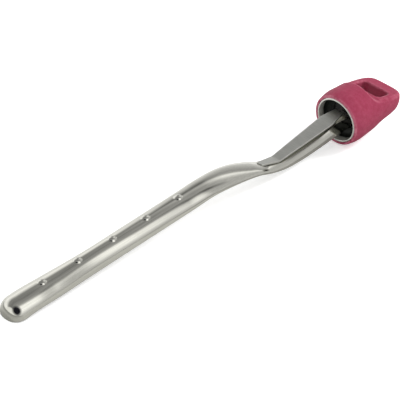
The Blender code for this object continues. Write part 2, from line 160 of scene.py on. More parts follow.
@dataclass(frozen=True)
class Layout:
    """Places along the tool that more than one piece needs."""

    fit_gap: float = 0.0003
    blade_length: float = 0.1484
    neck_length: float = 0.0600
    tang_reach: float = 0.0498
    blade_rise: float = 0.0165
    tang_top: float = -0.0005
    tang_depth: float = 0.0062
    tang_half: float = 0.0050
    cup_radius: float = 0.0144
    cup_depth: float = 0.0085
    cup_sheet: float = 0.0008
    core_step: float = 0.0012
    core_length: float = 0.0080
    tang_inset: float = 0.0004
    cap_back_wall: float = 0.0011
    scallop_run: float = 0.0065
    slot_land: float = 0.0012
    slot_length: float = 0.0112
    loop_bar: float = 0.0096
    loop_top: tuple[float, float] = (0.0090, 0.0032)
    loop_under: tuple[float, float] = (0.0074, 0.0072)

    @property
    def neck_end(self) -> float:
        """End of the neck, where the straight tang starts."""
        return self.blade_length + self.neck_length

    @property
    def mouth(self) -> float:
        """Mouth of the cup and the grip cap."""
        return self.neck_end + self.tang_reach

    @property
    def core_start(self) -> float:
        """Front face of the core, behind the cup's bottom."""
        return self.mouth + self.cup_depth + self.cup_sheet + self.fit_gap

    @property
    def core_end(self) -> float:
        """Rear face of the core."""
        return self.core_start + self.core_length

    @property
    def tang_end(self) -> float:
        """End of the tang, a little inside the core's rear face."""
        return self.core_end - self.tang_inset

    @property
    def scallop_start(self) -> float:
        """Edge where the barrel drops to the flattened loop."""
        return self.core_end + self.fit_gap + self.cap_back_wall

    @property
    def loop_root(self) -> float:
        """Where that drop ends."""
        return self.scallop_start + self.scallop_run

    @property
    def slot_start(self) -> float:
        """Front wall of the hanging slot."""
        return self.loop_root + self.slot_land

    @property
    def slot_end(self) -> float:
        """Rear wall of the hanging slot."""
        return self.slot_start + self.slot_length

    @property
    def tool_end(self) -> float:
        """End of the loop."""
        return self.slot_end + self.loop_bar

    def loop_face(self, x: Array, heights: tuple[float, float]) -> Array:
        """Height of a loop face at x: straight from its root height to its end height."""
        share = np.clip((x - self.loop_root) / (self.tool_end - self.loop_root), 0.0, 1.0)
        return heights[0] + (heights[1] - heights[0]) * share

    def slot_middle(self) -> float:
        """Height of the middle of the slot's rear wall."""
        top = self.loop_face(np.array(self.slot_end), self.loop_top)
        under = self.loop_face(np.array(self.slot_end), self.loop_under)
        return float(top - under) / 2


@dataclass(frozen=True)
class Part(ABC):
    """A visible piece that stands for one CAD node and rides on the tool's one body.

    Its names are the piece's own, the CAD node's and the record's material slot.
    """

    layout: Layout
    names: ClassVar[tuple[str, str, str]]

    @abstractmethod
    def surface(self) -> Surface:
        """Points in tool coordinates and blocks of faces, one point or face a row."""

    def build(self, axes: ToolAxes) -> Object:
        """Put the surface into a smooth-shaded mesh object that stands at the world origin.

        Args:
            axes: The tool's axes.

        Returns:
            The linked object.
        """
        points, blocks = self.surface()
        mesh = bpy.data.meshes.new(self.names[0])
        faces = [tuple(face) for block in blocks for face in block.tolist()]
        mesh.from_pydata(axes.place(points).tolist(), [], faces)
        mesh.validate()
        mesh.shade_smooth()
        return add_object(mesh)

    def dress(self, piece: Object, material: Material) -> None:
        """Hand the piece over in its finish."""
        _, node, slot = self.names
        piece.data.materials.append(material)
        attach(piece, "root")
        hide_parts(node)
        log.info("%s: stands for %s, %d faces", piece.name, node, len(piece.data.polygons))


# ---------------- finishes

class GrainWay(Enum):
    """Which way a metal's fine grain runs."""

    ALONG = (0.03, 1.0, 1.0)
    ACROSS = (1.0, 0.05, 0.05)
    EVEN = (1.0, 1.0, 1.0)


class NodeBoard:
    """Short ways to add and join nodes in one node tree."""

    def __init__(self, tree: NodeTree) -> None:
        """Keep the tree that the nodes go into."""
        self.tree = tree

    def add(self, kind: str, **settings: object) -> Node:
        """Add a node and set its properties."""
        node = self.tree.nodes.new(kind)
        for name, value in settings.items():
            setattr(node, name, value)
        return node

    def feed(self, value: object, socket: Socket) -> None:
        """Give an input a link, an RGB triple or a plain value."""
        if isinstance(value, Socket):
            self.tree.links.new(value, socket)
        elif socket.type == "RGBA":
            socket.default_value = (*value, 1.0)
        else:
            socket.default_value = value

    def feed_all(self, node: Node, **values: object) -> None:
        """Feed inputs by name, with an underscore for each space."""
        for name, value in values.items():
            self.feed(value, node.inputs[name.replace("_", " ")])

    def math(self, how: str, a: object, b: object) -> Socket:
        """Add a Math node and return its result."""
        node = self.add("ShaderNodeMath", operation=how)
        self.feed(a, node.inputs[0])
        self.feed(b, node.inputs[1])
        return node.outputs[0]

    def noise(self, vector: Socket, scale: object, detail: float, roughness: float = 0.5) -> Socket:
        """Add a Noise texture and return its value."""
        node = self.add("ShaderNodeTexNoise")
        self.feed_all(node, Vector=vector, Scale=scale, Detail=detail, Roughness=roughness)
        return node.outputs["Fac"]

    def spread(self, value: Socket, band: Pair, ends: Pair = (0.0, 1.0)) -> Socket:
        """Map a value from a band to two end values, clamped."""
        node = self.add("ShaderNodeMapRange")
        self.feed_all(node, Value=value, From_Min=band[0], From_Max=band[1],
                      To_Min=ends[0], To_Max=ends[1])
        return node.outputs["Result"]

    def ramp(self, value: Socket, strips: Strips) -> Socket:
        """Colour ramp over a full turn, from rows of angle in degrees and grey light."""
        node = self.add("ShaderNodeValToRGB")
        self.feed(value, node.inputs["Fac"])
        elements = node.color_ramp.elements
        for angle, light in strips[1:-1]:
            elements.new(angle / 360 + 0.5).color = (light, light, light, 1.0)
        for element, (_, light) in ((elements[0], strips[0]), (elements[-1], strips[-1])):
            element.color = (light, light, light, 1.0)
        return node.outputs["Color"]

    def mix(self, factor: Socket, a: object, b: object) -> Socket:
        """Mix two colours, each a socket or an RGB triple, and return the colour."""
        node = self.add("ShaderNodeMix", data_type="RGBA")
        self.feed(factor, node.inputs["Factor"])
        a_input, b_input = (socket for socket in node.inputs if socket.type == "RGBA")
        self.feed(a, a_input)
        self.feed(b, b_input)
        return next(socket for socket in node.outputs if socket.type == "RGBA")

    def split(self, vector: Socket) -> Outputs:
        """Separate a vector and return its X, Y and Z outputs."""
        node = self.add("ShaderNodeSeparateXYZ")
        self.feed(vector, node.inputs["Vector"])
        return node.outputs


def new_group(name: str, output: str, **inputs: float) -> tuple[NodeBoard, Outputs, Socket]:
    """Start a shader node group with a Vector input, value inputs and one value output.

    Args:
        name: The group's name.
        output: Name of its output.
        inputs: Its value inputs with their defaults.

    Returns:
        A board on the group's tree, what the group is given, and the input that it fills.
    """
    tree = bpy.data.node_groups.new(name, "ShaderNodeTree")
    tree.interface.new_socket("Vector", in_out="INPUT", socket_type="NodeSocketVector")
    for label, default in inputs.items():
        socket = tree.interface.new_socket(label, in_out="INPUT", socket_type="NodeSocketFloat")
        socket.default_value = default
    tree.interface.new_socket(output, in_out="OUTPUT", socket_type="NodeSocketFloat")
    board = NodeBoard(tree)
    given = board.add("NodeGroupInput").outputs
    return board, given, board.add("NodeGroupOutput").inputs[output]


def make_grain_group() -> NodeTree:
    """Fine parallel grain: stretched noise at two scales, one ten times the other."""
    board, given, wanted = new_group("metal_grain", "Grain", Scale=900.0)
    fine = board.noise(given["Vector"], given["Scale"], 3.0, 0.65)
    wide = board.noise(given["Vector"], board.math("MULTIPLY", given["Scale"], 0.1), 2.0)
    both = board.math("ADD", board.math("MULTIPLY", fine, 0.7), board.math("MULTIPLY", wide, 0.3))
    board.feed(both, wanted)
    return board.tree


def make_smudge_group() -> NodeTree:
    """Soft blotches of handling marks: low noise whose upper half is kept."""
    board, given, wanted = new_group("handling_smudges", "Smudge", Scale=60.0)
    soft = board.noise(given["Vector"], given["Scale"], 4.0, 0.6)
    board.feed(board.spread(soft, (0.45, 0.75)), wanted)
    return board.tree


def make_wear_group() -> NodeTree:
    """Edge wear: convex edges from the surface's pointiness, broken up by noise."""
    board, given, wanted = new_group("edge_wear", "Wear", Scale=400.0, Reach=0.05)
    point = board.add("ShaderNodeNewGeometry").outputs["Pointiness"]
    convex = board.math("DIVIDE", board.math("SUBTRACT", point, 0.5), given["Reach"])
    breakup = board.spread(board.noise(given["Vector"], given["Scale"], 3.0), WIDE_BAND)
    board.feed(board.spread(board.math("MULTIPLY", convex, breakup), (0.0, 1.0)), wanted)
    return board.tree


@dataclass
class FinishShop:
    """The tool's axes and the shared node groups, which every finish needs."""

    axes: ToolAxes
    grain: NodeTree = field(default_factory=make_grain_group)
    smudge: NodeTree = field(default_factory=make_smudge_group)
    wear: NodeTree = field(default_factory=make_wear_group)


class MaterialBoard(NodeBoard):
    """A new material, its Principled shader and coordinates in the tool's axes."""

    def __init__(self, name: str, axes: ToolAxes) -> None:
        """Start the material."""
        self.material = bpy.data.materials.new(name)
        self.material.use_nodes = True
        super().__init__(self.material.node_tree)
        self.shader = self.tree.nodes["Principled BSDF"]
        mapping = self.add("ShaderNodeMapping")
        self.feed_all(mapping, Vector=self.add("ShaderNodeTexCoord").outputs["Object"],
                      Rotation=(0.0, axes.pitch(), 0.0),
                      Location=tuple(-axes.turn.T @ axes.origin))
        self.vector = mapping.outputs["Vector"]

    def stretched(self, way: GrainWay) -> Socket:
        """Coordinates squeezed so that a pattern runs the given way."""
        mapping = self.add("ShaderNodeMapping")
        self.feed_all(mapping, Vector=self.vector, Scale=way.value)
        return mapping.outputs["Vector"]

    def effect(self, group: NodeTree, vector: Socket, **values: float) -> Socket:
        """Place a shared group with its own values and return its output."""
        node = self.add("ShaderNodeGroup", node_tree=group)
        self.feed_all(node, Vector=vector, **values)
        return node.outputs[0]

    def finish(self, colour: Socket, roughness: Socket, height: Socket,
               depth: float, strength: float) -> Material:
        """Feed colour, roughness and a fine relief to the shader, and return the material."""
        bump = self.add("ShaderNodeBump")
        self.feed_all(bump, Height=height, Distance=depth, Strength=strength)
        self.feed_all(self.shader, Base_Color=colour, Roughness=roughness,
                      Normal=bump.outputs["Normal"])
        return self.material


@dataclass(frozen=True)
class SteelFinish:
    """A stainless steel finish, from mirror polished to satin."""

    name: str
    bright: Colour
    dull: Colour
    roughness: Pair
    way: GrainWay
    grain_scale: float
    grain_depth: float
    grain_strength: float
    worn: Colour = (0.80, 0.79, 0.76)
    cloud: float = 0.04

    def make(self, shop: FinishShop) -> Material:
        """Grain in the colour, the roughness and the relief, smudges and bright worn edges."""
        board = MaterialBoard(self.name, shop.axes)
        grain = board.effect(shop.grain, board.stretched(self.way), Scale=self.grain_scale)
        smudge = board.effect(shop.smudge, board.vector, Scale=70.0)
        wear = board.effect(shop.wear, board.vector, Scale=500.0)
        board.feed_all(board.shader, Metallic=1.0)
        colour = board.mix(board.spread(grain, CORE_BAND), self.dull, self.bright)
        colour = board.mix(wear, colour, self.worn)
        roughness = board.math("ADD", board.spread(grain, WIDE_BAND, self.roughness),
                               board.math("MULTIPLY", smudge, self.cloud))
        return board.finish(colour, roughness, grain, self.grain_depth, self.grain_strength)


@dataclass(frozen=True)
class CupFinish:
    """Spun steel, bright at the lip, with painted shade that turns it black towards the bottom of
    the bowl.
    """

    mouth: float
    name: str = "cup_polish"
    bright: Colour = (0.76, 0.75, 0.69)
    hazy: Colour = (0.64, 0.63, 0.58)
    worn: Colour = (0.72, 0.70, 0.66)
    # Painted shade: the bowl is painted black below the lip, where the real bowl lies in shade.
    black: Colour = (0.010, 0.012, 0.010)
    ragged: float = 0.0016
    shade_start_depth: float = 0.0038
    full_shade_depth: float = 0.0054

    def make(self, shop: FinishShop) -> Material:
        """Spun grain, worn edges and painted shade: black with a ragged edge below the lip."""
        board = MaterialBoard(self.name, shop.axes)
        # The black band below the lip is painted shade, its edge made ragged by noise.
        ragged = board.math("MULTIPLY", board.noise(board.vector, 260.0, 3.0), self.ragged)
        place = board.math("ADD", board.split(board.vector)["X"], ragged)
        black = board.spread(place, (self.mouth + self.shade_start_depth, self.mouth + self.full_shade_depth))
        grain = board.effect(shop.grain, board.stretched(GrainWay.ACROSS), Scale=1500.0)
        wear = board.effect(shop.wear, board.vector, Scale=500.0)
        steel = board.mix(board.spread(grain, CORE_BAND), self.hazy, self.bright)
        colour = board.mix(black, board.mix(wear, steel, self.worn), self.black)
        board.feed_all(board.shader, Metallic=0.45)
        roughness = board.math("ADD", board.spread(grain, WIDE_BAND, (0.16, 0.26)),
                               board.math("MULTIPLY", black, 0.25))
        return board.finish(colour, roughness, grain, 0.00002, 0.12)


@dataclass(frozen=True)
class RubberFinish:
    """Dark pink moulded rubber: matte, finely pebbled, with a bloom and lighter edges that are
    partly rubbed wear and partly painted highlight.
    """

    name: str = "grip_rubber_finish"
    deep: Colour = (0.290, 0.021, 0.060)
    full: Colour = (0.345, 0.035, 0.086)
    rubbed_and_highlit: Colour = (0.520, 0.140, 0.205)
    pebble_scale: float = 2600.0
    mottle_scale: float = 420.0

    def make(self, shop: FinishShop) -> Material:
        """Pebbled relief, mottled colour, smoother handled patches and lighter convex edges: rubbed
        wear and a painted highlight.
        """
        board = MaterialBoard(self.name, shop.axes)
        pebble = board.noise(board.vector, self.pebble_scale, 2.0)
        mottle = board.noise(board.vector, self.mottle_scale, 4.0, 0.7)
        smudge = board.effect(shop.smudge, board.vector, Scale=110.0)
        wear = board.effect(shop.wear, board.vector, Scale=300.0, Reach=0.03)
        colour = board.mix(board.spread(mottle, CORE_BAND), self.deep, self.full)
        # Convex edges and the crease are lightened: partly rubbed wear, partly a painted highlight
        # where the light catches them.
        colour = board.mix(wear, colour, self.rubbed_and_highlit)
        board.feed_all(board.shader, Specular_IOR_Level=0.42)
        roughness = board.math("ADD", board.spread(pebble, WIDE_BAND, (0.52, 0.68)),
                               board.math("MULTIPLY", smudge, -0.10))
        height = board.math("ADD", pebble, board.math("MULTIPLY", mottle, 0.8))
        return board.finish(colour, roughness, height, 0.00008, 0.35)


@dataclass(frozen=True)
class CorePlasticFinish:
    """Black moulded plastic with a fine spark-eroded texture and dust in it."""

    name: str = "core_plastic_finish"
    black: Colour = (0.012, 0.012, 0.013)
    dusty: Colour = (0.045, 0.043, 0.040)

    def make(self, shop: FinishShop) -> Material:
        """Fine texture with a little dust."""
        board = MaterialBoard(self.name, shop.axes)
        fine = board.noise(board.vector, 1800.0, 3.0)
        dust = board.effect(shop.smudge, board.vector, Scale=260.0)
        colour = board.mix(dust, self.black, self.dusty)
        return board.finish(colour, board.spread(fine, WIDE_BAND, (0.42, 0.62)), fine, 0.00005, 0.4)


BLADE_FINISH = SteelFinish("blade_polish", (0.68, 0.67, 0.61), (0.58, 0.575, 0.52),
                           (0.06, 0.12), GrainWay.ALONG, 1700.0, 0.00002, 0.14)
STRAP_FINISH = SteelFinish("strap_satin", (0.68, 0.68, 0.64), (0.55, 0.555, 0.52),
                           (0.30, 0.44), GrainWay.ACROSS, 2600.0, 0.00003, 0.30)
PIN_FINISH = SteelFinish("pin_bright", (0.52, 0.52, 0.52), (0.42, 0.42, 0.43),
                         (0.28, 0.40), GrainWay.EVEN, 1600.0, 0.00002, 0.20)


# ---------------- blade

@dataclass(frozen=True)
class Blade(Part):
    """One pressed sheet: rounded nose, trough with depth marks, neck and tang."""

    names = ("polished_blade", "blade", "blade_steel")
    sheet: float = 0.0012
    nose_length: float = 0.0085
    nose_fullness: float = 2.3
    mark_count: int = 5
    first_mark: float = 0.0259
    mark_pitch: float = 0.0250
    mark_radius: float = 0.0027
    mark_height: float = 0.0009
    mark_fall: float = 0.72
    mark_fillet: float = 0.3125
    mark_reach: float = 1.15
    row_step: float = 0.0008
    mark_row_step: float = 0.00028
    columns: int = 93
    groove_wall: float = 0.0006

    def trough(self, x: Array) -> tuple[Array, Array, Array]:
        """Section of the trough along the tool.

        Args:
            x: Places along the tool.

        Returns:
            Half width, crest height and height of the lower edges at those places.
        """
        lay = self.layout
        blade, neck, reach = lay.blade_length, lay.neck_length, lay.tang_reach
        half, depth = lay.tang_half, lay.tang_depth
        rows = np.array((
            (0.0, 0.0090, -0.024, 0.0093),
            (1.5 * self.nose_length, 0.0090, -0.035, 0.0079),
            (0.21 * blade, 0.0086, -0.012, 0.0079),
            (0.38 * blade, 0.0076, 0.0, 0.0083),
            (0.61 * blade, 0.0078, 0.0, 0.0077),
            (0.87 * blade, 0.0082, 0.0, 0.0068),
            (blade, 0.0086, 0.024, 0.0057),
            (blade + 0.2 * neck, 0.0092, 0.124, 0.0049),
            (blade + 0.4 * neck, 0.0091, 0.300, 0.0041),
            (blade + 0.6 * neck, 0.0081, 0.559, 0.0036),
            (blade + 0.8 * neck, 0.0069, 0.882, 0.0036),
            (lay.neck_end, 0.0061, 1.065, 0.0043),
            (lay.neck_end + 0.26 * reach, 0.0057, 1.106, 0.0051),
            (lay.neck_end + 0.62 * reach, 0.0054, 1.082, 0.0055),
            (lay.mouth, half, 1.0, depth),
            (lay.tang_end, half, 1.0, depth)))
        places, widths, drops, depths = rows.T
        crest = lay.blade_rise - (lay.blade_rise - lay.tang_top) * smooth_through(places, drops, x)
        return smooth_through(places, widths, x), crest, crest - smooth_through(places, depths, x)

    def marks(self, x: Array, y: Array) -> Array:
        """Height of the depth marks: a dome over each centre with a short fillet at its foot.

        The dome falls as the square of the distance, and a raised cosine fades it out.
        """
        rise = np.zeros(np.broadcast(x, y).shape)
        for i in range(self.mark_count):
            away = np.hypot(x - self.first_mark - i * self.mark_pitch, y) / self.mark_radius
            foot = np.clip((away - 1) / self.mark_fillet + 1, 0, 1)
            fade = 0.5 + 0.5 * np.cos(math.pi * foot)
            rise += self.mark_height * fade * (1 - self.mark_fall * np.clip(away, 0, 1) ** 2)
        return rise

    def stations(self) -> Array:
        """Places of the rows: cosine spacing on the nose, close at the marks, even elsewhere."""
        nose = self.nose_length * (1 - np.cos(np.linspace(0.02, 0.5, 30) * math.pi))
        even = np.arange(self.nose_length + self.row_step, self.layout.tang_end, self.row_step)
        centres = self.first_mark + self.mark_pitch * np.arange(self.mark_count)
        step = self.mark_row_step / self.mark_radius
        close = np.arange(-self.mark_reach, self.mark_reach + 0.01, step) * self.mark_radius
        near = np.abs(even[:, None] - centres).min(axis=1) < close[-1] + self.mark_row_step
        fine = (centres[:, None] + close).ravel()
        return np.sort(np.concatenate([nose, even[~near], fine, [self.layout.tang_end]]))

    def skin(self) -> Array:
        """Outer skin: at place x and angle a the point is (x, w sin a, edge + h cos a).

        Half width w and height h shrink to nothing at the nose tip as an almost elliptic
        arc.  The angles lie closer on the crown.  The marks are added, and the strap's
        underside is let in as a shallow groove.

        Returns:
            Grid of points, rows along the tool.
        """
        land = Strap(self.layout, self)
        x = self.stations()[:, None]
        share = np.linspace(-1.0, 1.0, self.columns)[None, :]
        turn = (0.6 * share + 0.4 * share ** 3) * 0.5 * math.pi
        half, crest, edge = self.trough(x)
        back = np.clip((self.nose_length - x) / self.nose_length, 0.0, 1.0)
        full = (1.0 - back ** self.nose_fullness) ** (1.0 / self.nose_fullness)
        y = half * full * np.sin(turn)
        z = edge + (crest - edge) * full * np.cos(turn) + self.marks(x, y)
        cut = np.minimum(z, land.underside(x) - self.layout.fit_gap)
        wall = (np.abs(y) - land.half(x) - self.layout.fit_gap) / self.groove_wall
        beside = np.clip(wall, 0.0, 1.0)
        z = cut + (z - cut) * beside ** 2 * (3 - 2 * beside)
        return np.stack([np.broadcast_to(x, y.shape), y, z], axis=-1)

    def surface(self) -> Surface:
        """Quads of the skin, and triangles from its first row to a point at the nose tip."""
        skin = self.skin()
        tip = np.array([[0.0, 0.0, float(self.trough(np.array([0.0]))[2][0])]])
        points = np.concatenate([skin.reshape(-1, 3), tip])
        quads = grid_faces(len(skin), self.columns, closed=False)[:, ::-1]
        front = np.arange(self.columns - 1)
        nose = np.column_stack([np.full(len(front), len(points) - 1), front, front + 1])
        return points, [quads, nose]

    def build(self, axes: ToolAxes) -> Object:
        """Build the skin and thicken it inwards to the sheet."""
        piece = super().build(axes)
        wall = piece.modifiers.new("sheet", "SOLIDIFY")
        wall.thickness = self.sheet
        wall.offset = -1.0
        wall.use_even_offset = True
        wall.use_quality_normals = True
        return piece


# ---------------- strap

@dataclass(frozen=True)
class Strap(Part):
    """Flat bar over the tang: rounded free end, bend, widening face, shoulders and tail."""

    names = ("satin_strap", "tang_strap", "strap_steel")
    blade: Blade
    sheet: float = 0.0012
    bend_back: float = 0.0028
    tab: float = 0.0142
    tab_sunk: float = 0.0011
    bend_sunk: float = 0.0004
    land_margin: float = 0.0010
    face_rise: float = 0.0047
    shoulder: float = 0.0080
    taper: float = 0.0108
    tail_drop: float = 0.0050
    halves: tuple[float, float, float, float] = (0.0021, 0.0033, 0.0052, 0.0031)
    corner: float = 0.00025
    row_step: float = 0.0005
    bend_reach: float = 0.0006
    least_half: float = 0.00002

    def places(self) -> tuple[float, float, float, float, float, float]:
        """Free end, bend, shoulder, start of the tail, seat of the tail and its end."""
        bend = self.layout.neck_end - self.bend_back
        shoulder = self.layout.mouth - self.shoulder
        tail = shoulder + self.taper
        return bend - self.tab, bend, shoulder, tail, tail + self.tail_drop, self.layout.tang_end

    def top(self, x: Array) -> Array:
        """Height of the top face: straight pieces from bend to bend."""
        start, bend, shoulder, tail, seat, end = self.places()
        crests = self.blade.trough(np.array([start, bend]))[1]
        on_neck = crests - (self.tab_sunk, self.bend_sunk) + self.layout.fit_gap + self.sheet
        slope = self.face_rise / (shoulder - bend)
        tail_top = on_neck[1] + slope * (tail - bend)
        seated = self.layout.tang_top + self.layout.fit_gap + self.sheet
        heights = (on_neck[0], on_neck[1], tail_top, seated, seated)
        return np.interp(x, (start, bend, tail, seat, end), heights)

    def underside(self, x: Array) -> Array:
        """Height of the underside over the neck, and far above the blade elsewhere."""
        start, bend = self.places()[:2]
        fall = float(self.top(np.array(start)) - self.top(np.array(bend)))
        upright = self.sheet * math.hypot(1.0, fall / self.tab)
        under = (x > start - self.land_margin) & (x < self.layout.neck_end + self.land_margin)
        return np.where(under, self.top(x) - upright, 1.0)

    def half(self, x: Array) -> Array:
        """Half width: straight pieces from end to shoulder to tail, with a round free end."""
        start, bend, shoulder, tail, _, end = self.places()
        width = np.interp(x, (start, bend, shoulder, tail, end), (*self.halves, self.halves[-1]))
        back = np.clip((start + self.halves[0] - x) / self.halves[0], 0.0, 1.0)
        return width * np.sqrt(1.0 - back ** 2)

    def surface(self) -> Surface:
        """Carry a rounded rectangular section along the strap's top line.

        The section at place x is a rectangle of the strap's width there and the sheet's
        thickness with rounded corners, and its height runs square to the top line.

        Returns:
            Points and blocks of faces.
        """
        start, end = self.places()[0], self.places()[-1]
        rounded = start + self.halves[0] * (1 - np.cos(np.linspace(0.03, 0.5, 16) * math.pi))
        x = np.unique(np.concatenate([rounded, np.arange(rounded[-1], end, self.row_step), [end]]))
        half = self.half(x)[:, None]
        steps = np.linspace(-self.bend_reach, self.bend_reach, 7)[:, None]
        top = self.top(x + steps).mean(axis=0)
        slope = np.gradient(top, x)[:, None]
        along = np.hypot(1.0, slope)
        turn = np.radians(np.linspace(0, 90, 5))
        inset = self.corner * (1 - np.sin(turn))
        sunk = self.corner * (1 - np.cos(turn))
        side = half - np.concatenate([inset, inset[::-1]])
        side = np.maximum(side, self.least_half)
        depth = np.concatenate([sunk, self.sheet - sunk[::-1]])
        face = 0.9 * np.linspace(-1, 1, 9)[1:-1]
        y = np.concatenate([half * face, side, half * face[::-1], -side[:, ::-1]], axis=1)
        flat = np.zeros(len(face))
        below = np.concatenate([flat, depth, flat + self.sheet, depth[::-1]])
        points = np.stack([x[:, None] + slope / along * below, y,
                           top[:, None] - 1.0 / along * below], axis=-1)
        rows, columns = y.shape
        hubs = points[[0, -1]].mean(axis=1)
        ring = np.arange(columns)
        faces = [grid_faces(rows, columns, closed=True)[:, ::-1],
                 fan_faces(ring, rows * columns, with_ring=True),
                 fan_faces(ring + (rows - 1) * columns, rows * columns + 1, with_ring=False)]
        return np.concatenate([points.reshape(-1, 3), hubs]), faces


# ---------------- cup

@dataclass(frozen=True)
class Cup(Part):
    """Spun cup in the mouth of the handle: rolled lip, straight wall, bowl, open bottom."""

    names = ("spun_cup", "ferrule_cup", "cup_steel")
    lip: float = 0.0010
    straight: float = 0.0035
    hole_play: float = 0.0006
    segments: int = 144

    def profile(self) -> Array:
        """Closed profile: inside of the bowl, rolled lip, outside of the wall and the bowl."""
        lay = self.layout
        inner, mouth, sheet = lay.cup_radius - self.lip, lay.mouth, lay.cup_sheet
        outer = inner + sheet
        hole = math.hypot(lay.tang_half, lay.tang_depth - lay.tang_top) + self.hole_play
        turn = np.radians(np.linspace(0, 90, 19))
        deep, narrowing = lay.cup_depth - self.straight, (inner - hole) * (1 - np.cos(turn))
        inside, outside = (np.column_stack([mouth + self.straight + bowl * np.sin(turn),
                                            radius - narrowing])
                           for bowl, radius in ((deep, inner), (deep + sheet, outer)))
        outside[-1, 1] = hole
        roll = np.radians(np.linspace(270, 90, 13))
        lip = np.column_stack([mouth + self.lip / 2 * (1 + np.cos(roll)),
                               lay.cup_radius + self.lip / 2 * (np.sin(roll) - 1)])
        neck = np.array([[mouth + 1.4 * self.lip, outer]])
        return np.concatenate([inside[::-1], lip, neck, outside])

    def surface(self) -> Surface:
        """Turn the profile round the axis: at angle a a point is (x, -r sin a, r cos a)."""
        place, radius = self.profile().T
        angle = np.linspace(0, 2 * math.pi, self.segments, endpoint=False)[:, None]
        x = np.broadcast_to(place, (self.segments, len(place)))
        points = np.stack([x, -radius * np.sin(angle), radius * np.cos(angle)], axis=-1)
        faces = grid_faces(self.segments + 1, len(place), closed=True)[:, ::-1] % x.size
        return points.reshape(-1, 3), [faces]


# ---------------- grip cap

